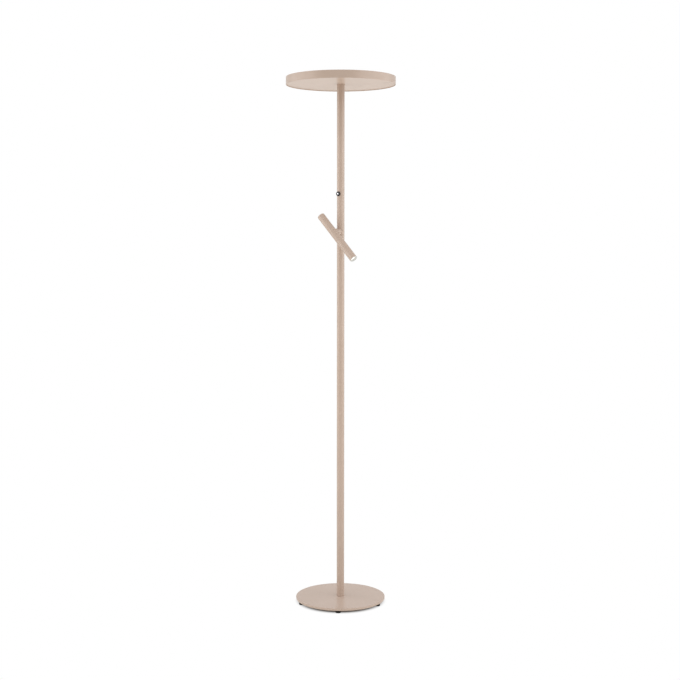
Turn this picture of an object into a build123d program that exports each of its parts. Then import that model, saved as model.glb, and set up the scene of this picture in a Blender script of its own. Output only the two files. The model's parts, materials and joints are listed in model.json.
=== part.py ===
from build123d import *
import os
from math import sqrt

# Floor lamp with reading light. Millimetres, +Z up, origin on the floor under the pole.
# The front, with the button and the reading light, looks along -Y.

# Overall
lamp_height = 1750.0
head_diameter = 360.0
head_height = 25.0
pole_diameter = 25.0
pole_wall = 1.5
base_diameter = 300.0
base_thickness = 8.0
foot_height = 8.0

# Clearances
slip_gap = 0.1
seat_gap = 0.05
running_gap = 0.05
face_gap = 0.3

# Base
base_lower_bevel = 2.0
nut_pocket_diameter = 26.0
nut_pocket_depth = 4.0
foot_diameter = 18.0
foot_edge_distance = 11.5
foot_angles = (-119, -53, 13, 89, 165)

# Hollow threaded nipples, their nuts and the bushes in the pole's ends
nipple_diameter = 10.0
nipple_bore = 7.0
nipple_length = 30.0
nipple_tail = 0.5
nut_across_flats = 14.0
nut_height = 4.0
bush_length = 25.0
cord_hole = 6.0
cord_bush_across_flats = 12.0
cord_bush_thickness = 2.0

# Pole
section_count = 2
joiner_length = 200.0
joiner_bore = 14.0
terminal_size = (12.0, 9.0, 18.0)
lead_diameter = 2.6
lead_offset = 1.9
lead_bend = 4.0
lead_sides = 6

# Head
floor_recess = 2.0
rim_wall = 1.5
floor_thickness = 1.5
stiffener_width = 90.0
stiffener_thickness = 2.0
diffuser_recess = 1.0
diffuser_thickness = 3.0
head_gap = 0.2
post_across_flats = 8.0
post_circle_diameter = 300.0
post_count = 6
led_board_size = (90.0, 18.0, 1.6)
led_board_start = 60.0
led_board_angles = (-90, -30, 30, 150, 210)
led_chip_size = (5.0, 5.0, 1.0)
led_chip_spacing = 22.0
led_chips_per_board = 4
driver_size = (40.0, 110.0, 12.0)
driver_spacing = 3.0

# Push button, above the reading light
switch_above_pivot = 125.0
bezel_diameter = 15.5
bezel_proud = 2.2
barrel_diameter = 12.0
barrel_depth = 4.0
button_diameter = 5.0
button_proud = 0.6
button_travel = 1.2
stem_size = 2.4
stem_length = 3.5
switch_block_size = 12.0
switch_block_depth = 6.5

# Reading light
pivot_height = 1245.0
tube_diameter = 25.0
tube_wall = 1.5
tube_gap = 14.0
tube_tilt = 45.0
tube_rear = 74.0
tube_front = 125.0
cap_thickness = 6.0
mouth_recess = 6.5
lens_thickness = 4.0
mixing_length = 14.0
led_plate_size = 13.0
led_plate_thickness = 1.2
emitter_size = 8.0
emitter_thickness = 0.6
sink_length = 24.0

# Swivel
boss_width = 20.0
boss_height = 22.0
boss_corner = 5.0
boss_length = 6.0
nut_plate_width = 14.0
nut_plate_height = 16.0
nut_plate_depth = 4.5
saddle_width = 12.0
saddle_length = 18.0
saddle_thickness = 4.0
collar_diameter = 22.0
collar_rim = 1.2
stop_pin_diameter = 2.4
stop_pin_radius = 8.0
stop_pin_reach = 1.8
stop_web = 2.4
light_lead_diameter = 2.4
light_lead_bend = 2.5

# Places worked out from the sizes above
pole_radius = pole_diameter / 2
pole_bore = pole_radius - pole_wall
tube_radius = tube_diameter / 2
tube_bore = tube_radius - tube_wall
tube_offset = pole_radius + tube_gap + tube_radius
nipple_radius = nipple_diameter / 2
thread_radius = nipple_radius + running_gap

base_top = foot_height + base_thickness
pocket_top = foot_height + nut_pocket_depth
foot_nipple_end = pocket_top - nut_height - nipple_tail

rim_bottom = lamp_height - head_height
rim_bore = head_diameter / 2 - rim_wall
panel_radius = rim_bore - head_gap
floor_bottom = rim_bottom + floor_recess
floor_top = floor_bottom + floor_thickness
stiffener_top = floor_top + stiffener_thickness
head_nipple_end = stiffener_top + nut_height + nipple_tail
diffuser_top = lamp_height - diffuser_recess
diffuser_bottom = diffuser_top - diffuser_thickness
board_top = floor_top + led_board_size[2]
driver_near = stiffener_width / 2 + driver_spacing

pole_bottom = base_top
pole_top = floor_bottom
section_length = (pole_top - pole_bottom) / section_count
terminal_bottom = pole_bottom + bush_length
terminal_top = terminal_bottom + terminal_size[2]

switch_height = pivot_height + switch_above_pivot
bezel_front = pole_radius + bezel_proud
barrel_radius = barrel_diameter / 2
barrel_back = pole_bore - barrel_depth
button_radius = button_diameter / 2
button_front = bezel_front + button_proud
button_back = barrel_back + button_travel + face_gap
stem_back = button_back - stem_length
block_back = barrel_back - switch_block_depth

boss_front = pole_radius + boss_length
recess_floor = boss_front + stop_pin_reach + face_gap
saddle_front = tube_offset - tube_bore + saddle_thickness
axle_front = saddle_front + nut_height + nipple_tail
axle_back = axle_front - nipple_length

lens_front = tube_front - mouth_recess
lens_back = lens_front - lens_thickness
sink_front = lens_back - mixing_length
insert_radius = tube_bore - slip_gap

from_base = (Align.CENTER, Align.CENTER, Align.MIN)


def disc(radius, low, high):
    return Pos(0, 0, low) * Cylinder(radius, high - low, align=from_base)


def ring(outer, inner, low, high):
    return disc(outer, low, high) - disc(inner, low, high)


# A round bar that points forward, between two distances in front of the pole's axis.
def forward_bar(radius, near, far):
    return Pos(0, -near, 0) * Rot(90, 0, 0) * Cylinder(radius, far - near, align=from_base)


def forward_ring(outer, inner, near, far):
    return forward_bar(outer, near, far) - forward_bar(inner, near, far)


# A block between two distances in front of the pole's axis, centred across and in height.
def forward_block(width, height, near, far):
    return Pos(0, -(near + far) / 2, 0) * Box(width, far - near, height)


def hex_prism(across_flats, height):
    return extrude(RegularPolygon(across_flats / sqrt(3), 6), height)


def turned(points):
    profile = make_face(Polyline(*[(x, 0, z) for x, z in points], close=True))
    return revolve(profile, Axis.Z)


# A lead of many flat sides along a path of straight runs with rounded corners.
def wire(points, radius, bend):
    path = FilletPolyline(*points, radius=bend)
    start = Plane(origin=points[0], z_dir=Vector(*points[1]) - Vector(*points[0]))
    return sweep(start * RegularPolygon(radius, lead_sides), path=path)


def group(shapes):
    return Compound([solid for shape in shapes for solid in shape.solids()])


# Frames: the switch, the swivel's fixed side, its turning side, and the light's tube.
at_switch = Pos(0, 0, switch_height)
at_pivot = Pos(0, 0, pivot_height)
at_light = at_pivot * Rot(0, 90 + tube_tilt, 0)
at_tube = at_light * Pos(0, -tube_offset, 0)


# Base
def make_base_plate():
    radius = base_diameter / 2
    pocket = nut_pocket_diameter / 2
    hole = nipple_radius + slip_gap
    return turned([
        (hole, pocket_top),
        (pocket, pocket_top),
        (pocket, foot_height),
        (radius - base_lower_bevel, foot_height),
        (radius, foot_height + base_lower_bevel),
        (radius, base_top),
        (hole, base_top),
    ])


def make_base_feet():
    circle = base_diameter / 2 - foot_edge_distance
    foot = Pos(circle, 0, 0) * disc(foot_diameter / 2, 0, foot_height)
    return group([Rot(0, 0, angle) * foot for angle in foot_angles])


def make_cord_bush():
    bush = hex_prism(cord_bush_across_flats, cord_bush_thickness)
    bush -= disc(cord_hole / 2, 0, cord_bush_thickness)
    return Pos(0, 0, foot_nipple_end - cord_bush_thickness) * bush


# Pole
def make_pole_section(index):
    low = pole_bottom + index * section_length
    return ring(pole_radius, pole_bore, low, low + section_length)


def make_pole_upper():
    tube = make_pole_section(section_count - 1)
    switch_hole = at_switch * forward_bar(barrel_radius + slip_gap, 0, pole_diameter)
    axle_hole = at_pivot * forward_bar(nipple_radius + slip_gap, 0, pole_diameter)
    return tube - switch_hole - axle_hole


def make_joiner():
    seam = pole_bottom + section_length
    half = joiner_length / 2
    return ring(pole_bore - slip_gap, joiner_bore / 2, seam - half, seam + half)


def make_bushes():
    outer = pole_bore - slip_gap
    lower = ring(outer, thread_radius, pole_bottom, pole_bottom + bush_length)
    upper = ring(outer, thread_radius, pole_top - bush_length, pole_top)
    return group([lower, upper])


# The same nipple and nut hold the base, the head and the reading light.
def make_nipples():
    bore = nipple_bore / 2
    lower = ring(nipple_radius, bore, foot_nipple_end, foot_nipple_end + nipple_length)
    upper = ring(nipple_radius, bore, head_nipple_end - nipple_length, head_nipple_end)
    axle = at_pivot * forward_ring(nipple_radius, bore, axle_back, axle_front)
    return group([lower, upper, axle])


def make_nuts():
    nut = hex_prism(nut_across_flats, nut_height) - disc(thread_radius, 0, nut_height)
    lower = Pos(0, 0, pocket_top - nut_height) * nut
    upper = Pos(0, 0, stiffener_top) * nut
    swivel = at_pivot * Pos(0, -saddle_front, 0) * Rot(90, 0, 0) * nut
    return group([lower, upper, swivel])


def make_terminal():
    return Pos(0, lead_offset, terminal_bottom) * Box(*terminal_size, align=from_base)


def make_pole_lead():
    radius = lead_diameter / 2
    exit_height = head_nipple_end + lead_bend
    points = [
        (0, lead_offset, terminal_top),
        (0, lead_offset, exit_height),
        (0, driver_near, exit_height),
    ]
    return wire(points, radius, lead_bend)


# Head
def make_stiffener():
    plate = Pos(0, 0, floor_top) * Box(stiffener_width, stiffener_width, stiffener_thickness, align=from_base)
    return plate - disc(nipple_radius + slip_gap, floor_top, stiffener_top)


def make_driver():
    return Pos(0, driver_near + driver_size[1] / 2, floor_top) * Box(*driver_size, align=from_base)


def make_posts():
    post = Pos(0, 0, floor_top) * hex_prism(post_across_flats, diffuser_bottom - floor_top)
    return group(PolarLocations(post_circle_diameter / 2, post_count) * post)


# The boards point outward from the middle, and the driver takes the place of a sixth.
def make_led_boards():
    middle = led_board_start + led_board_size[0] / 2
    board = Pos(middle, 0, floor_top) * Box(*led_board_size, align=from_base)
    return group([Rot(0, 0, angle) * board for angle in led_board_angles])


def make_led_chips():
    middle = led_board_start + led_board_size[0] / 2
    row = Pos(middle, 0, board_top) * GridLocations(led_chip_spacing, 0, led_chips_per_board, 1)
    chips = row * Box(*led_chip_size, align=from_base)
    return group([Rot(0, 0, angle) * chip for angle in led_board_angles for chip in chips])


# Push button
def make_bezel():
    flange = forward_bar(bezel_diameter / 2, 0, bezel_front)
    flange -= disc(pole_radius + seat_gap, -bezel_diameter, bezel_diameter)
    barrel = forward_bar(barrel_radius, barrel_back, bezel_front)
    bore = forward_bar(button_radius + running_gap, barrel_back, bezel_front)
    return at_switch * (flange + barrel - bore)


def make_switch_body():
    block = forward_block(switch_block_size, switch_block_size, block_back, barrel_back)
    stem_room = stem_back - button_travel - face_gap
    hole = stem_size + 2 * slip_gap
    return at_switch * (block - forward_block(hole, hole, stem_room, barrel_back))


def make_button():
    cap = forward_bar(button_radius, button_back, button_front)
    return at_switch * (cap + forward_block(stem_size, stem_size, stem_back, button_back))


# Swivel, fixed side. The pin on the boss meets the web in the collar at each end of the turn.
def make_boss():
    outline = Plane.XZ * RectangleRounded(boss_width, boss_height, boss_corner)
    boss = extrude(outline, boss_front)
    boss -= disc(pole_radius + seat_gap, -boss_height, boss_height)
    boss -= forward_bar(thread_radius, 0, boss_front)
    pin = forward_bar(stop_pin_diameter / 2, boss_front, boss_front + stop_pin_reach)
    return at_pivot * (boss + Pos(0, 0, stop_pin_radius) * pin)


def make_nut_plate():
    plate = forward_block(nut_plate_width, nut_plate_height, pole_bore - nut_plate_depth, pole_radius)
    plate &= disc(pole_bore - seat_gap, -nut_plate_height, nut_plate_height)
    return at_pivot * (plate - forward_bar(thread_radius, 0, pole_radius))


def make_reading_lead():
    drop = axle_back - light_lead_bend
    points = [
        (0, -drop, switch_height - switch_block_size / 2),
        (0, -drop, pivot_height),
        (0, -axle_front + slip_gap, pivot_height),
    ]
    return wire(points, light_lead_diameter / 2, light_lead_bend)


# Swivel, turning side. The collar's rim bears on the boss, and its web lies on the light's mouth side.
def make_collar():
    near_tube = Pos(0, -tube_offset, 0) * Cylinder(tube_radius + seat_gap, 2 * collar_diameter)
    collar = forward_bar(collar_diameter / 2, boss_front, tube_offset) - near_tube
    recess = forward_bar(collar_diameter / 2 - collar_rim, boss_front, recess_floor)
    web = forward_block(stop_web, collar_diameter / 2, boss_front, recess_floor)
    collar -= recess - Pos(0, 0, collar_diameter / 4) * web
    return at_light * (collar - forward_bar(thread_radius, boss_front, tube_offset))


def make_saddle():
    block = forward_block(saddle_width, saddle_length, tube_offset - tube_radius, saddle_front)
    block &= Pos(0, -tube_offset, 0) * Cylinder(tube_bore - seat_gap, 2 * saddle_length)
    return at_light * (block - forward_bar(thread_radius, 0, tube_offset))


# Reading light, with the tube's axis as z and the mouth at its upper end
def make_reading_tube():
    tube = ring(tube_radius, tube_bore, -tube_rear, tube_front)
    hole = Pos(0, tube_offset, 0) * forward_bar(nipple_radius + face_gap, 0, tube_offset)
    return at_tube * (tube - hole)


def make_rear_cap():
    return at_tube * disc(insert_radius, -tube_rear, cap_thickness - tube_rear)


def make_heat_sink():
    return at_tube * disc(insert_radius, sink_front - sink_length, sink_front)


def make_reading_led():
    plate = Box(led_plate_size, led_plate_size, led_plate_thickness, align=from_base)
    emitter = Box(emitter_size, emitter_size, led_plate_thickness + emitter_thickness, align=from_base)
    return at_tube * Pos(0, 0, sink_front) * (plate + emitter)


pieces = {
    "base_plate": make_base_plate(),
    "base_feet": make_base_feet(),
    "cord_bush": make_cord_bush(),
    "pole_lower": make_pole_section(0),
    "pole_upper": make_pole_upper(),
    "pole_joiner": make_joiner(),
    "pole_bushes": make_bushes(),
    "lamp_nipples": make_nipples(),
    "lamp_nuts": make_nuts(),
    "cord_terminal": make_terminal(),
    "pole_lead": make_pole_lead(),
    "head_rim": ring(head_diameter / 2, rim_bore, rim_bottom, lamp_height),
    "head_floor": ring(panel_radius, nipple_radius + slip_gap, floor_bottom, floor_top),
    "head_stiffener": make_stiffener(),
    "led_driver": make_driver(),
    "led_boards": make_led_boards(),
    "led_chips": make_led_chips(),
    "diffuser_posts": make_posts(),
    "head_diffuser": disc(panel_radius, diffuser_bottom, diffuser_top),
    "switch_bezel": make_bezel(),
    "switch_body": make_switch_body(),
    "switch_button": make_button(),
    "swivel_boss": make_boss(),
    "swivel_nut_plate": make_nut_plate(),
    "reading_lead": make_reading_lead(),
    "swivel_collar": make_collar(),
    "swivel_saddle": make_saddle(),
    "reading_tube": make_reading_tube(),
    "reading_rear_cap": make_rear_cap(),
    "reading_heat_sink": make_heat_sink(),
    "reading_led": make_reading_led(),
    "reading_lens": at_tube * disc(insert_radius, lens_back, lens_front),
}

os.makedirs("parts", exist_ok=True)
for name, shape in pieces.items():
    export_step(shape, f"parts/{name}.step")
    print(name, round(shape.volume, 1))
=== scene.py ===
import json
import math

import bmesh
import bpy
from mathutils import Matrix, Vector


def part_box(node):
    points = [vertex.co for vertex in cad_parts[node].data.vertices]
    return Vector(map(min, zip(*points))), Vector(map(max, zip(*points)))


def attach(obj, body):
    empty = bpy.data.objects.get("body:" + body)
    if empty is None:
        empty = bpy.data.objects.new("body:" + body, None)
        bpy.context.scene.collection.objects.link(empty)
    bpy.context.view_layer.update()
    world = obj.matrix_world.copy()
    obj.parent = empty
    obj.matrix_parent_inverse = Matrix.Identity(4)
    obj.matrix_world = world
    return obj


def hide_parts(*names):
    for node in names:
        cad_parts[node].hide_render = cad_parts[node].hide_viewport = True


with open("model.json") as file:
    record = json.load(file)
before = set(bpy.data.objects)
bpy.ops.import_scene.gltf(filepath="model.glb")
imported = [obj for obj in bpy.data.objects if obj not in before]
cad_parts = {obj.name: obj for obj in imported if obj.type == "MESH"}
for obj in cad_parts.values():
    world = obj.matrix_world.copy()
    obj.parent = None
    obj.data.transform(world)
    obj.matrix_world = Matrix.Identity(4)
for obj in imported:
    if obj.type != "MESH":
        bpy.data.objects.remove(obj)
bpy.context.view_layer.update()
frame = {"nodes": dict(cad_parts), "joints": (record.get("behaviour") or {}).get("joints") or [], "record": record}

nodes = frame["nodes"]
mm = 0.001
print("frame loaded:", len(nodes), "nodes")


# shader helpers

noiseBand = (0.3, 0.7)  # most of a noise texture's values lie between these
cloudDetail, grainDetail = 4.0, 2.0


def newMaterial(name):
    material = bpy.data.materials.new(name)
    material.use_nodes = True
    return material, material.node_tree.nodes, material.node_tree.links


def noiseOf(tree, links, coords, scale, detail):
    noise = tree.new("ShaderNodeTexNoise")
    noise.inputs["Scale"].default_value = scale
    noise.inputs["Detail"].default_value = detail
    links.new(coords.outputs["Object"], noise.inputs["Vector"])
    return noise


def mapped(tree, links, source, start, end, low, high, kind="LINEAR"):
    spread = tree.new("ShaderNodeMapRange")
    spread.interpolation_type = kind
    for name, value in (("From Min", start), ("From Max", end), ("To Min", low), ("To Max", high)):
        spread.inputs[name].default_value = value
    links.new(source, spread.inputs["Value"])
    return spread.outputs["Result"]


def tintOf(tree, links, source, darkest, lightest):
    ramp = tree.new("ShaderNodeValToRGB")
    for mark, place, colour in zip(ramp.color_ramp.elements, noiseBand, (darkest, lightest)):
        mark.position = place
        mark.color = (*colour, 1)
    links.new(source, ramp.inputs["Fac"])
    return ramp.outputs["Color"]


def linear(red, green, blue):  # 0..255 display values to the shader's own numbers
    parts = [value / 255 for value in (red, green, blue)]
    return tuple(p / 12.92 if p <= 0.04045 else ((p + 0.055) / 1.055) ** 2.4 for p in parts)


def grainyFinish(name, finish):
    material, tree, links = newMaterial(name)
    shader = tree["Principled BSDF"]
    coords = tree.new("ShaderNodeTexCoord")
    cloud = noiseOf(tree, links, coords, finish["cloudScale"], cloudDetail).outputs["Fac"]
    grain = noiseOf(tree, links, coords, finish["grainScale"], grainDetail).outputs["Fac"]
    tint = tintOf(tree, links, cloud, linear(*finish["dark"]), linear(*finish["light"]))
    links.new(tint, shader.inputs["Base Color"])
    smooth, rough = (finish["roughness"] + side * finish["roughSpread"] for side in (-1, 1))
    links.new(mapped(tree, links, grain, *noiseBand, smooth, rough), shader.inputs["Roughness"])
    bump = tree.new("ShaderNodeBump")
    bump.inputs["Strength"].default_value = finish["bump"]
    bump.inputs["Distance"].default_value = finish["bumpDepth"] * mm
    links.new(grain, bump.inputs["Height"])
    links.new(bump.outputs["Normal"], shader.inputs["Normal"])
    shader.inputs["Metallic"].default_value = finish.get("metallic", 0.0)
    shader.inputs["Specular IOR Level"].default_value = finish.get("specular", 0.5)
    if "glow" in finish:
        links.new(tint, shader.inputs["Emission Color"])
        shader.inputs["Emission Strength"].default_value = finish["glow"]
    return material


finishes = {
    "sandPaint": dict(dark=(199, 177, 161), light=(204, 182, 167), cloudScale=9, grainScale=1400,
                      roughness=0.34, roughSpread=0.04, bump=0.12, bumpDepth=0.08, specular=0.3),
    "blackRubber": dict(dark=(9, 9, 9), light=(15, 15, 15), cloudScale=60, grainScale=900,
                        roughness=0.85, roughSpread=0.08, bump=0.3, bumpDepth=0.1, specular=0.15),
    "blackPlastic": dict(dark=(15, 15, 16), light=(21, 21, 22), cloudScale=80, grainScale=2200,
                         roughness=0.5, roughSpread=0.06, bump=0.2, bumpDepth=0.06, specular=0.3),
    "zincPlate": dict(dark=(176, 178, 182), light=(196, 197, 198), cloudScale=70, grainScale=1600,
                      roughness=0.34, roughSpread=0.08, bump=0.12, bumpDepth=0.05, metallic=1.0),
    "buttonChrome": dict(dark=(214, 214, 216), light=(228, 228, 230), cloudScale=120, grainScale=3000,
                         roughness=0.12, roughSpread=0.04, bump=0.05, bumpDepth=0.02, metallic=1.0),
    "turnedAluminium": dict(dark=(196, 198, 200), light=(214, 215, 216), cloudScale=90, grainScale=1800,
                            roughness=0.36, roughSpread=0.07, bump=0.12, bumpDepth=0.05, metallic=1.0),
    "whitePlastic": dict(dark=(222, 222, 218), light=(232, 232, 229), cloudScale=40, grainScale=1500,
                         roughness=0.5, roughSpread=0.06, bump=0.15, bumpDepth=0.06),
    "opalPanel": dict(dark=(234, 233, 229), light=(239, 238, 235), cloudScale=12, grainScale=1700,
                      roughness=0.45, roughSpread=0.05, bump=0.1, bumpDepth=0.04, specular=0.3),
    "litLens": dict(dark=(255, 252, 246), light=(255, 255, 252), cloudScale=60, grainScale=1700,
                    roughness=0.35, roughSpread=0.05, bump=0.08, bumpDepth=0.03, glow=0.7),
    "greyLining": dict(dark=(200, 200, 198), light=(208, 208, 206), cloudScale=70, grainScale=1500,
                       roughness=0.55, roughSpread=0.06, bump=0.15, bumpDepth=0.05),
    "boardMask": dict(dark=(230, 230, 226), light=(238, 238, 235), cloudScale=50, grainScale=1200,
                      roughness=0.4, roughSpread=0.05, bump=0.1, bumpDepth=0.03),
    "ledPhosphor": dict(dark=(232, 196, 88), light=(242, 212, 112), cloudScale=300, grainScale=2500,
                        roughness=0.45, roughSpread=0.05, bump=0.15, bumpDepth=0.03),
    "leadSheath": dict(dark=(198, 198, 194), light=(210, 210, 206), cloudScale=80, grainScale=1400,
                       roughness=0.5, roughSpread=0.05, bump=0.15, bumpDepth=0.05),
}
materials = {name: grainyFinish(name, finish) for name, finish in finishes.items()}
slotFinish = {
    "paint_on_steel": "sandPaint", "paint_on_aluminium": "sandPaint", "black_rubber": "blackRubber",
    "black_plastic": "blackPlastic", "zinc_steel": "zincPlate", "bright_chrome": "buttonChrome",
    "bare_aluminium": "turnedAluminium", "white_plastic": "whitePlastic", "opal_plastic": "opalPanel",
    "board_white": "boardMask", "led_yellow": "ledPhosphor", "lead_sheath": "leadSheath",
}
print("finishes made:", len(materials))


# mesh helpers

arcSteps = 6  # straight steps in a rounded corner
edgeShare = 0.49  # most of an edge that one rounded corner takes up
onAxis = 1e-7  # a ring smaller than this is one point
normalWeight = 80
drillSegments = 64
cleaning = dict(weld=0.003 * mm, collapse=0.001 * mm)  # slivers that a cut leaves


def roundedOutline(corners, closed=True):  # corners are (radius, height, rounding)
    outline = []
    count = len(corners)
    for index, (radius, height, rounding) in enumerate(corners):
        here = Vector((radius, height))
        if rounding <= 0 or (not closed and index in (0, count - 1)):
            outline.append(here)
            continue
        back = Vector(corners[index - 1][:2]) - here
        ahead = Vector(corners[(index + 1) % count][:2]) - here
        half = back.angle(ahead) / 2
        reach = min(rounding / math.tan(half), edgeShare * min(back.length, ahead.length))
        bend = reach * math.tan(half)
        middle = here + (back.normalized() + ahead.normalized()).normalized() * bend / math.sin(half)
        start = here + back.normalized() * reach - middle
        end = here + ahead.normalized() * reach - middle
        wholeAngle = start.angle_signed(end)
        for step in range(arcSteps + 1):
            angle = wholeAngle * step / arcSteps
            outline.append(middle + Matrix.Rotation(-angle, 2) @ start)
    return [(point.x, point.y) for point in outline]


def spunMesh(mesh, outline, segments, place, closed=True, height=None, reach=None):
    rings = []
    for radius, level in outline:
        if radius < onAxis:
            rings.append([mesh.verts.new(place @ Vector((0, 0, level)))])
            continue
        ring = []
        for index in range(segments):
            angle = 2 * math.pi * index / segments
            far = reach(radius, angle) if reach else radius
            rise = height(far, level, angle) if height else level
            spot = Vector((far * math.cos(angle), far * math.sin(angle), rise))
            ring.append(mesh.verts.new(place @ spot))
        rings.append(ring)
    following = rings[1:] + rings[:1] if closed else rings[1:]
    for low, high in zip(rings, following):
        for index in range(segments):
            after = (index + 1) % segments
            if len(low) == 1:
                mesh.faces.new((low[0], high[after], high[index]))
            elif len(high) == 1:
                mesh.faces.new((low[index], low[after], high[0]))
            else:
                mesh.faces.new((low[index], low[after], high[after], high[index]))


def solidOf(corners, segments, place):  # turned about local z, from the axis out and back to it
    mesh = bmesh.new()
    spunMesh(mesh, roundedOutline(corners, closed=False), segments, place, closed=False)
    return mesh


def ringOf(corners, segments, place, **bent):  # turned about local z, with an opening in the middle
    mesh = bmesh.new()
    spunMesh(mesh, roundedOutline(corners), segments, place, **bent)
    return mesh


def evenNormals(piece):
    normals = piece.modifiers.new("evenNormals", "WEIGHTED_NORMAL")
    normals.weight = normalWeight


def finishPiece(name, mesh, finish, body, slot, *stoodFor):
    bmesh.ops.recalc_face_normals(mesh, faces=mesh.faces[:])
    data = bpy.data.meshes.new(name)
    mesh.to_mesh(data)
    mesh.free()
    data.polygons.foreach_set("use_smooth", [True] * len(data.polygons))
    piece = bpy.data.objects.new(name, data)
    bpy.context.scene.collection.objects.link(piece)
    data.materials.append(materials[finish])
    evenNormals(piece)
    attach(piece, body)
    if stoodFor:
        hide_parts(*stoodFor)
    return piece


def worked(piece, tool, operation):  # cuts the tool's shape out of a piece's mesh, or joins it on
    bmesh.ops.recalc_face_normals(tool, faces=tool.faces[:])
    data = bpy.data.meshes.new("tool")
    tool.to_mesh(data)
    tool.free()
    helper = bpy.data.objects.new("tool", data)
    bpy.context.scene.collection.objects.link(helper)
    change = piece.modifiers.new("change", "BOOLEAN")
    change.operation = operation
    change.object = helper
    change.solver = "EXACT"
    piece.modifiers.move(len(piece.modifiers) - 1, 0)
    normals = piece.modifiers["evenNormals"]
    normals.show_viewport = False
    bpy.context.view_layer.update()
    depsgraph = bpy.context.evaluated_depsgraph_get()
    made = bpy.data.meshes.new_from_object(piece.evaluated_get(depsgraph))
    normals.show_viewport = True
    piece.modifiers.remove(change)
    bpy.data.objects.remove(helper)
    mesh = bmesh.new()
    mesh.from_mesh(made)
    bmesh.ops.remove_doubles(mesh, verts=mesh.verts[:], dist=cleaning["weld"])
    bmesh.ops.dissolve_degenerate(mesh, dist=cleaning["collapse"], edges=mesh.edges[:])
    mesh.to_mesh(made)
    mesh.free()
    made.polygons.foreach_set("use_smooth", [True] * len(made.polygons))
    made.name = piece.name
    piece.data = made


def drilled(piece, radius, length, place):  # a round hole
    drill = bmesh.new()
    bmesh.ops.create_cone(drill, cap_ends=True, segments=drillSegments, radius1=radius, radius2=radius,
                          depth=length, matrix=place)
    worked(piece, drill, "DIFFERENCE")


def barOf(place, wide, deep, long):  # a square bar centred on a place
    bar = bmesh.new()
    bmesh.ops.create_cube(bar, size=1.0, matrix=place @ Matrix.Diagonal((wide, deep, long, 1)))
    return bar


def turnAbout(origin, axisX, axisY, axisZ):
    return Matrix.Translation(origin) @ Matrix((axisX, axisY, axisZ)).transposed().to_4x4()


upright = Matrix.Identity(4)
swivel = next(joint for joint in frame["joints"] if joint["type"] == "hinge")
pivot = Vector(swivel["pos_m"])
poleLow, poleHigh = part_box("pole_lower")
poleRadius = (poleHigh.x - poleLow.x) / 2
lightTilt = math.radians(45)
lightAlong = Vector((math.cos(lightTilt), 0, -math.sin(lightTilt)))  # towards the light's mouth
lightAcross = Vector((-math.sin(lightTilt), 0, -math.cos(lightTilt)))
forward = Vector((0, -1, 0))


# base

base = dict(segments=224, topRound=1.0 * mm, lowerBevel=2.0 * mm, bevelRound=0.3 * mm, hole=5.1 * mm,
            holeRound=0.2 * mm, pocket=13.0 * mm, pocketDepth=4.0 * mm, pocketRound=0.3 * mm)


def makeBase():
    low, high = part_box("base_plate")
    radius = high.x
    pocketTop = low.z + base["pocketDepth"]
    bevel, soft = base["lowerBevel"], base["bevelRound"]
    mesh = ringOf([
        (base["hole"], pocketTop, 0),
        (base["pocket"], pocketTop, base["pocketRound"]),
        (base["pocket"], low.z, base["pocketRound"]),
        (radius - bevel, low.z, soft),
        (radius, low.z + bevel, soft),
        (radius, high.z, base["topRound"]),
        (base["hole"], high.z, base["holeRound"]),
    ], base["segments"], upright)
    finishPiece("basePlate", mesh, "sandPaint", "stand", "paint_on_steel", "base_plate")


feet = dict(angles=(-119, -53, 13, 89, 165), circle=138.5 * mm, radius=9.0 * mm, segments=48,
            edgeRound=1.0 * mm, topRound=0.3 * mm, well=4.2 * mm, wellDepth=3.2 * mm,
            wellRound=0.3 * mm, wellMouthRound=0.5 * mm)
screw = dict(radius=3.6 * mm, height=1.8 * mm, gap=0.02 * mm, crown=0.5 * mm, topRound=0.2 * mm,
             socketFloor=1.5 * mm, socketMouth=1.7 * mm, socketDepth=0.7 * mm, socketRound=0.15 * mm,
             mouthRound=0.2 * mm)


def makeFeet():
    low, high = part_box("base_feet")
    wellTop = low.z + feet["wellDepth"]
    screwLow, screwTop = wellTop - screw["height"], wellTop - screw["gap"]
    socketTop = screwLow + screw["socketDepth"]
    footOutline = roundedOutline([
        (0, wellTop, 0),
        (feet["well"], wellTop, feet["wellRound"]),
        (feet["well"], low.z, feet["wellMouthRound"]),
        (feet["radius"], low.z, feet["edgeRound"]),
        (feet["radius"], high.z, feet["topRound"]),
        (0, high.z, 0),
    ], closed=False)
    screwOutline = roundedOutline([
        (0, socketTop, 0),
        (screw["socketFloor"], socketTop, screw["socketRound"]),
        (screw["socketMouth"], screwLow, screw["mouthRound"]),
        (screw["radius"], screwLow + screw["crown"], screw["crown"]),
        (screw["radius"], screwTop, screw["topRound"]),
        (0, screwTop, 0),
    ], closed=False)
    footMesh, screwMesh = bmesh.new(), bmesh.new()
    for degrees in feet["angles"]:
        outward = Matrix.Rotation(math.radians(degrees), 4, "Z")
        place = outward @ Matrix.Translation((feet["circle"], 0, 0))
        spunMesh(footMesh, footOutline, feet["segments"], place, closed=False)
        spunMesh(screwMesh, screwOutline, feet["segments"], place, closed=False)
    finishPiece("baseFeet", footMesh, "blackRubber", "stand", "black_rubber", "base_feet")
    finishPiece("footScrews", screwMesh, "zincPlate", "stand", "zinc_steel")


makeBase()
makeFeet()
print("base made")


# pole

pole = dict(segments=96, wall=1.5 * mm, seamRound=0.2 * mm, endRound=0.25 * mm, switchHole=6.1 * mm,
            axleHole=5.1 * mm)


def poleTube(name, node, lowRound, highRound):
    low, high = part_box(node)
    inner = poleRadius - pole["wall"]
    mesh = ringOf([
        (poleRadius, low.z, lowRound),
        (poleRadius, high.z, highRound),
        (inner, high.z, 0),
        (inner, low.z, 0),
    ], pole["segments"], upright)
    return finishPiece(name, mesh, "sandPaint", "stand", "paint_on_steel", node)


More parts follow.
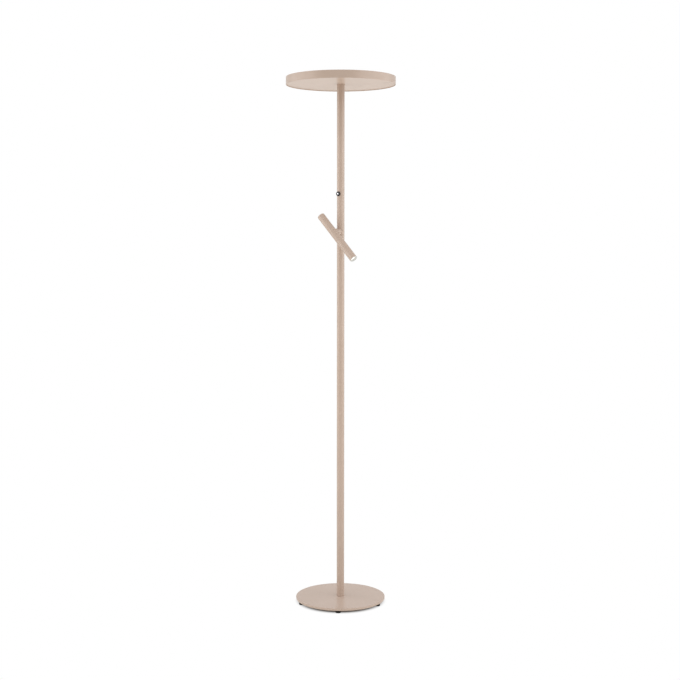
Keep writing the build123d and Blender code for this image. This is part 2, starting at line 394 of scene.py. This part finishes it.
def forwardFrom(height):  # local z points forward out of the pole
    return turnAbout(Vector((0, 0, height)), Vector((1, 0, 0)), Vector((0, 0, 1)), forward)


bezelLow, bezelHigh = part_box("switch_bezel")
switchHeight = (bezelLow.z + bezelHigh.z) / 2
poleTube("poleLower", "pole_lower", pole["endRound"], pole["seamRound"])
upperPole = poleTube("poleUpper", "pole_upper", pole["seamRound"], pole["endRound"])
for hole, height in ((pole["switchHole"], switchHeight), (pole["axleHole"], pivot.z)):
    drilled(upperPole, hole, poleRadius, forwardFrom(height) @ Matrix.Translation((0, 0, poleRadius)))
print("pole made")


# head

head = dict(segments=288, lipRound=0.7 * mm, innerRound=0.5 * mm, floorGap=0.2 * mm,
            floorRound=0.6 * mm, floorHole=5.1 * mm, panelRound=0.8 * mm)


def makeHead():
    rimLow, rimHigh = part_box("head_rim")
    floorLow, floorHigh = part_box("head_floor")
    panelLow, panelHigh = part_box("head_diffuser")
    inner = floorHigh.x + head["floorGap"]
    mesh = ringOf([
        (rimHigh.x, rimLow.z, head["lipRound"]),
        (rimHigh.x, rimHigh.z, head["lipRound"]),
        (inner, rimHigh.z, head["innerRound"]),
        (inner, rimLow.z, head["innerRound"]),
    ], head["segments"], upright)
    finishPiece("headRim", mesh, "sandPaint", "stand", "paint_on_aluminium", "head_rim")
    mesh = ringOf([
        (head["floorHole"], floorLow.z, 0),
        (floorHigh.x, floorLow.z, head["floorRound"]),
        (floorHigh.x, floorHigh.z, head["floorRound"]),
        (head["floorHole"], floorHigh.z, 0),
    ], head["segments"], upright)
    finishPiece("headFloor", mesh, "sandPaint", "stand", "paint_on_aluminium", "head_floor")
    mesh = solidOf([
        (0, panelLow.z, 0),
        (panelHigh.x, panelLow.z, head["panelRound"]),
        (panelHigh.x, panelHigh.z, head["panelRound"]),
        (0, panelHigh.z, 0),
    ], head["segments"], upright)
    finishPiece("headDiffuser", mesh, "opalPanel", "stand", "opal_plastic", "head_diffuser")


makeHead()
print("head made")


# push button

button = dict(segments=72, seat=0.05 * mm, flangeRound=0.7 * mm, mouthRound=0.5 * mm, barrel=6.0 * mm,
              barrelRound=0.3 * mm, bore=2.55 * mm, capBackRound=0.2 * mm, capRound=0.6 * mm,
              capDome=0.35 * mm, crownShare=0.55, crownDrop=0.12 * mm, crownRound=1.5 * mm,
              stem=2.4 * mm, stemLength=3.5 * mm, stemRoot=0.5 * mm)


def onPole(radius, angle, gap):  # how far forward the pole's surface is under a point of a ring
    return math.sqrt((poleRadius + gap) ** 2 - (radius * math.cos(angle)) ** 2)


def saddledOnPole(gap):  # what lies at level 0 follows the pole's surface
    return lambda radius, level, angle: onPole(radius, angle, gap) if level == 0 else level


def makeSwitch():
    place = forwardFrom(switchHeight)
    flange = (bezelHigh.x - bezelLow.x) / 2
    front, back = -bezelLow.y, -bezelHigh.y
    mesh = ringOf([
        (button["bore"], front, button["mouthRound"]),
        (flange, front, button["flangeRound"]),
        (flange, 0, 0),
        (button["barrel"], 0, 0),
        (button["barrel"], back, button["barrelRound"]),
        (button["bore"], back, button["barrelRound"]),
    ], button["segments"], place, height=saddledOnPole(button["seat"]))
    finishPiece("switchBezel", mesh, "blackPlastic", "stand", "black_plastic", "switch_bezel")
    capLow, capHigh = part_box("switch_button")
    capRadius = (capHigh.x - capLow.x) / 2
    capFront, stemBack = -capLow.y, -capHigh.y
    capBack = stemBack + button["stemLength"]
    mesh = solidOf([
        (0, capBack, 0),
        (capRadius, capBack, button["capBackRound"]),
        (capRadius, capFront - button["capDome"], button["capRound"]),
        (capRadius * button["crownShare"], capFront - button["crownDrop"], button["crownRound"]),
        (0, capFront, 0),
    ], button["segments"], place)
    cap = finishPiece("switchButton", mesh, "buttonChrome", "button", "bright_chrome", "switch_button")
    stemFront = capBack + button["stemRoot"]
    stemPlace = place @ Matrix.Translation((0, 0, (stemBack + stemFront) / 2))
    worked(cap, barOf(stemPlace, button["stem"], button["stem"], stemFront - stemBack), "UNION")


makeSwitch()
print("push button made")


# swivel

turn = dict(segments=144, boss=11.0 * mm, bossHalf=10.0 * mm, bossCorner=5.0 * mm, roundWithin=6.0 * mm,
            collar=11.0 * mm, bore=5.05 * mm, boreRound=0.2 * mm, seat=0.05 * mm, relief=0.06 * mm,
            seamRound=0.25 * mm, rim=1.2 * mm, rimRound=0.1 * mm, recess=2.1 * mm, recessRound=0.3 * mm,
            tubeRadius=12.5 * mm)
stop = dict(pinSegments=24, pinRadius=1.2 * mm, pinCircle=8.0 * mm, pinReach=1.8 * mm, pinRound=0.2 * mm,
            pinRoot=0.5 * mm, webWidth=2.4 * mm, webGap=0.2 * mm, webRoot=0.3 * mm, webRelief=0.1 * mm)
bossFront = -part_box("swivel_collar")[1].y
fixedSide = forwardFrom(pivot.z)
turningSide = turnAbout(Vector((0, 0, pivot.z)), lightAcross, lightAlong, forward)
tubeOffset = -pivot.y


def onTube(radius, angle):  # how far forward the tube's near surface is over a point of a ring
    reach = turn["tubeRadius"] + turn["seat"]
    return tubeOffset - math.sqrt(reach ** 2 - (radius * math.cos(angle)) ** 2)


def saddledOnTube(radius, level, angle):
    return onTube(radius, angle) if level == tubeOffset else level


def onBlock(radius, angle):  # an outer ring follows the boss's block with rounded corners
    if radius < turn["roundWithin"]:
        return radius
    inset = turn["boss"] - radius
    corner = turn["bossCorner"] - inset
    right, top = turn["bossHalf"] - inset, turn["boss"] - inset
    across, along = abs(math.cos(angle)), abs(math.sin(angle))
    if right * along <= (top - corner) * across:
        return right / across
    if top * across <= (right - corner) * along:
        return top / along
    ahead = across * (right - corner) + along * (top - corner)
    return ahead + math.sqrt(ahead ** 2 - (right - corner) ** 2 - (top - corner) ** 2 + corner ** 2)


def makeBoss():
    mesh = ringOf([
        (turn["bore"], bossFront, 0),
        (turn["boss"], bossFront, turn["seamRound"]),
        (turn["boss"], 0, 0),
        (turn["bore"], 0, 0),
    ], turn["segments"], fixedSide, reach=onBlock, height=saddledOnPole(turn["seat"]))
    boss = finishPiece("swivelBoss", mesh, "sandPaint", "stand", "paint_on_steel", "swivel_boss")
    pinFront, pinBack = bossFront + stop["pinReach"], bossFront - stop["pinRoot"]
    pin = solidOf([
        (0, pinFront, 0),
        (stop["pinRadius"], pinFront, stop["pinRound"]),
        (stop["pinRadius"], pinBack, 0),
        (0, pinBack, 0),
    ], stop["pinSegments"], fixedSide @ Matrix.Translation((0, stop["pinCircle"], 0)))
    worked(boss, pin, "UNION")


def makeCollar():
    inner = turn["collar"] - turn["rim"]
    recessFloor = bossFront + turn["recess"]
    bearing = bossFront + turn["relief"]  # clear of the boss, so that nothing scrapes as it turns
    mesh = ringOf([
        (turn["collar"], bearing, turn["seamRound"]),
        (turn["collar"], tubeOffset, 0),
        (turn["bore"], tubeOffset, 0),
        (turn["bore"], recessFloor, turn["boreRound"]),
        (inner, recessFloor, turn["recessRound"]),
        (inner, bearing, turn["rimRound"]),
    ], turn["segments"], turningSide, height=saddledOnTube)
    collar = finishPiece("swivelCollar", mesh, "sandPaint", "reading_light", "paint_on_steel",
                         "swivel_collar")
    webLow, webHigh = turn["bore"] + stop["webGap"], inner + stop["webRoot"]
    webBack, webFront = bossFront + stop["webRelief"], recessFloor + stop["webRoot"]
    webPlace = turningSide @ Matrix.Translation((0, (webLow + webHigh) / 2, (webBack + webFront) / 2))
    worked(collar, barOf(webPlace, stop["webWidth"], webHigh - webLow, webFront - webBack), "UNION")


makeBoss()
makeCollar()
print("swivel made")


# reading light

light = dict(segments=96, wall=1.5 * mm, rear=74.0 * mm, front=125.0 * mm, lipRound=0.7 * mm,
             rearRound=1.4 * mm, rearInnerRound=0.3 * mm, axleHole=5.3 * mm, slip=0.1 * mm,
             liningReach=0.2 * mm, liningStart=2.0 * mm)
rearCap = dict(thickness=6.0 * mm, outerRound=0.6 * mm, innerRound=0.3 * mm)
lens = dict(front=118.5 * mm, back=114.5 * mm, backRound=0.3 * mm, dome=0.8 * mm, edgeRound=0.4 * mm,
            crownShare=0.6, crownDrop=0.2 * mm, crownRound=6.0 * mm)
lightAxis = turnAbout(pivot, lightAcross, forward, lightAlong)  # local z runs to the mouth
tubeInner = turn["tubeRadius"] - light["wall"]
insertRadius = tubeInner - light["slip"]


def lineTube(tube):  # the tube's lip and inside are bare
    tube.data.materials.append(materials["greyLining"])
    toAxis = lightAxis.inverted()
    for face in tube.data.polygons:
        spot = toAxis @ face.center
        within = math.hypot(spot.x, spot.y) < tubeInner + light["liningReach"]
        inside = within and spot.z > -light["rear"] + light["liningStart"]
        if inside or spot.z > light["front"] - light["lipRound"]:
            face.material_index = 1


def makeTube():
    outer = turn["tubeRadius"]
    mesh = ringOf([
        (outer, -light["rear"], light["rearRound"]),
        (outer, light["front"], light["lipRound"]),
        (tubeInner, light["front"], light["lipRound"]),
        (tubeInner, -light["rear"], light["rearInnerRound"]),
    ], light["segments"], lightAxis)
    tube = finishPiece("readingTube", mesh, "sandPaint", "reading_light", "paint_on_aluminium",
                       "reading_tube")
    drillPlace = turningSide @ Matrix.Translation((0, 0, tubeOffset - outer))
    drilled(tube, light["axleHole"], outer, drillPlace)
    lineTube(tube)


def makeRearCap():
    back, front = -light["rear"], rearCap["thickness"] - light["rear"]
    mesh = solidOf([
        (0, back, 0),
        (insertRadius, back, rearCap["outerRound"]),
        (insertRadius, front, rearCap["innerRound"]),
        (0, front, 0),
    ], light["segments"], lightAxis)
    finishPiece("readingRearCap", mesh, "sandPaint", "reading_light", "paint_on_aluminium",
                "reading_rear_cap")


def makeLens():
    mesh = solidOf([
        (0, lens["back"], 0),
        (insertRadius, lens["back"], lens["backRound"]),
        (insertRadius, lens["front"] - lens["dome"], lens["edgeRound"]),
        (insertRadius * lens["crownShare"], lens["front"] - lens["crownDrop"], lens["crownRound"]),
        (0, lens["front"], 0),
    ], light["segments"], lightAxis)
    finishPiece("readingLens", mesh, "litLens", "reading_light", "opal_plastic", "reading_lens")


makeTube()
makeRearCap()
makeLens()
print("reading light made")


# inner pieces keep their solids, with softened edges

softening = dict(weld=0.001 * mm, width=0.25 * mm, segments=2, angle=40)


def dressSolids():
    slotOf = {entry["node"]: entry["material_slot"] for entry in frame["record"]["subparts"]}
    for name, solid in nodes.items():
        solid.data.materials.clear()
        solid.data.materials.append(materials[slotFinish[slotOf[name]]])
        if solid.hide_render:
            continue
        weld = solid.modifiers.new("weld", "WELD")
        weld.merge_threshold = softening["weld"]
        soft = solid.modifiers.new("softEdges", "BEVEL")
        soft.width = softening["width"]
        soft.segments = softening["segments"]
        soft.limit_method = "ANGLE"
        soft.angle_limit = math.radians(softening["angle"])
        evenNormals(solid)


dressSolids()
print("inner pieces dressed")


# floor, light and camera

camera = dict(azimuth=40.0, distance=4.0369, height=1.2185, pitch=4.71, roll=0.045, focalPixels=1214.5,
              imagePixels=680.0, poleColumn=340.6, sensor=36.0)
viewAngle = math.radians(camera["azimuth"])
towardsCamera = Vector((math.sin(viewAngle), -math.cos(viewAngle), 0))


def softStep(tree, links, source, start, end, low, high):
    return mapped(tree, links, source, start, end, low, high, "SMOOTHSTEP")


def shareRamp(tree, links, source, shares):  # shares are (place, share)
    ramp = tree.new("ShaderNodeValToRGB")
    marks = ramp.color_ramp.elements
    for place, share in shares[1:-1]:
        marks.new(place)
    for mark, (place, share) in zip(marks, shares):
        mark.position = place
        mark.color = (share, share, share, 1)
    links.new(source, ramp.inputs["Fac"])
    return ramp.outputs["Color"]


def joined(tree, links, operation, first, second):
    node = tree.new("ShaderNodeMath")
    node.operation = operation
    node.use_clamp = operation == "ADD"
    links.new(first, node.inputs[0])
    links.new(second, node.inputs[1])
    return node.outputs["Value"]


def mixedShaders(tree, links, share, first, second):
    mix = tree.new("ShaderNodeMixShader")
    links.new(share, mix.inputs["Fac"])
    links.new(first, mix.inputs[1])
    links.new(second, mix.inputs[2])
    return mix.outputs["Shader"]


def seenRays(tree, links):  # what the camera, a mirror or a clear piece would show
    path = tree.new("ShaderNodeLightPath")
    mirrored = joined(tree, links, "ADD", path.outputs["Is Camera Ray"], path.outputs["Is Glossy Ray"])
    return joined(tree, links, "ADD", mirrored, path.outputs["Is Transmission Ray"])


def stagePiece(name, mesh, material):
    data = bpy.data.meshes.new(name)
    mesh.to_mesh(data)
    mesh.free()
    data.materials.append(material)
    piece = bpy.data.objects.new(name, data)
    bpy.context.scene.collection.objects.link(piece)
    return piece


floor = dict(size=40.0, cells=8, tint=0.4, roughness=0.9, warmth=(1.0, 0.975, 0.9), lift=1.02, span=4.0,
             whiteStart=0.127, whiteEnd=0.157,  # the shadow stays under the base
             thrown=((0.0, 0.35), (0.112, 0.35), (0.128, 0.02), (0.146, 0.02), (0.155, 0.5),
                     (0.2, 0.42), (0.28, 0.22), (0.38, 0.12), (0.5, 0.17), (0.7, 0.47), (0.9, 0.8),
                     (1.15, 1.0), (1.8, 1.0), (2.6, 0.62), (3.4, 0.25)))  # light share by reach


def paleFloor():
    material, tree, links = newMaterial("paleFloor")
    shader = tree["Principled BSDF"]
    shader.inputs["Base Color"].default_value = (floor["tint"], floor["tint"], floor["tint"], 1)
    shader.inputs["Roughness"].default_value = floor["roughness"]
    coords = tree.new("ShaderNodeTexCoord")
    length = tree.new("ShaderNodeVectorMath")
    length.operation = "LENGTH"
    links.new(coords.outputs["Object"], length.inputs[0])
    reach = length.outputs["Value"]
    rays = seenRays(tree, links)
    part = mapped(tree, links, reach, 0.0, floor["span"], 0.0, 1.0)
    shares = [(place / floor["span"], share) for place, share in floor["thrown"]]
    thrown = shareRamp(tree, links, part, shares)
    unseen = softStep(tree, links, rays, 0.0, 1.0, floor["lift"], 0.0)
    links.new(joined(tree, links, "MULTIPLY", thrown, unseen), shader.inputs["Emission Strength"])
    shader.inputs["Emission Color"].default_value = (*floor["warmth"], 1)
    white = tree.new("ShaderNodeEmission")
    white.inputs["Strength"].default_value = 1.0
    share = softStep(tree, links, reach, floor["whiteStart"], floor["whiteEnd"], 0.0, 1.0)
    whiteShare = joined(tree, links, "MULTIPLY", rays, share)
    above = mixedShaders(tree, links, whiteShare, shader.outputs["BSDF"], white.outputs["Emission"])
    side = tree.new("ShaderNodeNewGeometry").outputs["Backfacing"]
    clear = tree.new("ShaderNodeBsdfTransparent").outputs["BSDF"]
    surface = mixedShaders(tree, links, side, above, clear)  # from below, the lamp's underside shows
    links.new(surface, tree["Material Output"].inputs["Surface"])
    return material


def makeFloor():
    mesh = bmesh.new()
    bmesh.ops.create_grid(mesh, x_segments=floor["cells"], y_segments=floor["cells"],
                          size=floor["size"] / 2)
    stagePiece("studioFloor", mesh, paleFloor())


sky = dict(level=1.52, rise=((0.0, 0.22), (0.1, 0.26), (0.3, 1.0), (0.7, 1.0), (1.0, 0.1)),
           front=(0.3, 0.9, 0.66), back=(-0.1, -0.8, 0.4))  # share left towards the camera and away from it


def makeSky():
    world = bpy.data.worlds.new("studioSky")
    bpy.context.scene.world = world
    world.use_nodes = True
    tree, links = world.node_tree.nodes, world.node_tree.links
    background = tree["Background"]
    background.inputs["Color"].default_value = (1, 1, 1, 1)
    coords = tree.new("ShaderNodeTexCoord")
    split = tree.new("ShaderNodeSeparateXYZ")
    links.new(coords.outputs["Generated"], split.inputs["Vector"])
    rise = shareRamp(tree, links, split.outputs["Z"], sky["rise"])
    facing = tree.new("ShaderNodeVectorMath")
    facing.operation = "DOT_PRODUCT"
    facing.inputs[1].default_value = towardsCamera
    links.new(coords.outputs["Generated"], facing.inputs[0])
    shares = [softStep(tree, links, facing.outputs["Value"], start, end, 1.0, share)
              for start, end, share in (sky["front"], sky["back"])]
    sides = joined(tree, links, "MULTIPLY", *shares)
    lit = joined(tree, links, "MULTIPLY", rise, sides)
    bright = tree.new("ShaderNodeMath")
    bright.operation = "MULTIPLY"
    bright.inputs[1].default_value = sky["level"]
    links.new(lit, bright.inputs[0])
    level = tree.new("ShaderNodeMix")
    links.new(seenRays(tree, links), level.inputs["Factor"])
    links.new(bright.outputs["Value"], level.inputs["A"])
    level.inputs["B"].default_value = 1.0  # white where it is seen
    links.new(level.outputs["Result"], background.inputs["Strength"])


cards = dict(radius=5.5, low=0.0, high=4.5, steps=24)  # show in gloss only
cardSpans = {"darkEnd": (-48, 32, 0.02), "leftPanel": (-122, -54, 2.7), "rightPanel": (38, 122, 2.7)}


def glowing(name, level):
    material, tree, links = newMaterial(name)
    glow = tree.new("ShaderNodeEmission")
    glow.inputs["Strength"].default_value = level
    links.new(glow.outputs["Emission"], tree["Material Output"].inputs["Surface"])
    return material


def makeCards():
    for name, (first, last, level) in cardSpans.items():
        mesh = bmesh.new()
        edges = []
        for step in range(cards["steps"] + 1):
            angle = math.radians(first + (last - first) * step / cards["steps"])
            foot = Matrix.Rotation(angle, 3, "Z") @ towardsCamera * cards["radius"]
            edges.append([mesh.verts.new(foot + Vector((0, 0, height)))
                          for height in (cards["low"], cards["high"])])
        for one, other in zip(edges, edges[1:]):
            mesh.faces.new((one[0], other[0], other[1], one[1]))
        card = stagePiece(name, mesh, glowing(name, level))
        card.visible_camera = False
        card.visible_diffuse = False
        card.visible_transmission = False
        card.visible_shadow = False


def makeCamera():
    data = bpy.data.cameras.new("photoCamera")
    data.sensor_width = camera["sensor"]
    data.lens = camera["focalPixels"] * camera["sensor"] / camera["imagePixels"]
    data.shift_x = (camera["imagePixels"] / 2 - camera["poleColumn"]) / camera["imagePixels"]
    viewer = bpy.data.objects.new("photoCamera", data)
    bpy.context.scene.collection.objects.link(viewer)
    viewer.location = towardsCamera * camera["distance"] + Vector((0, 0, camera["height"]))
    turned = Matrix.Rotation(viewAngle, 3, "Z")
    tipped = Matrix.Rotation(math.radians(90 - camera["pitch"]), 3, "X")
    rolled = Matrix.Rotation(math.radians(camera["roll"]), 3, "Z")
    viewer.rotation_euler = (turned @ tipped @ rolled).to_euler()
    bpy.context.scene.camera = viewer


makeFloor()
makeSky()
makeCards()
makeCamera()
bpy.context.scene.view_settings.view_transform = "Standard"
print("studio made")
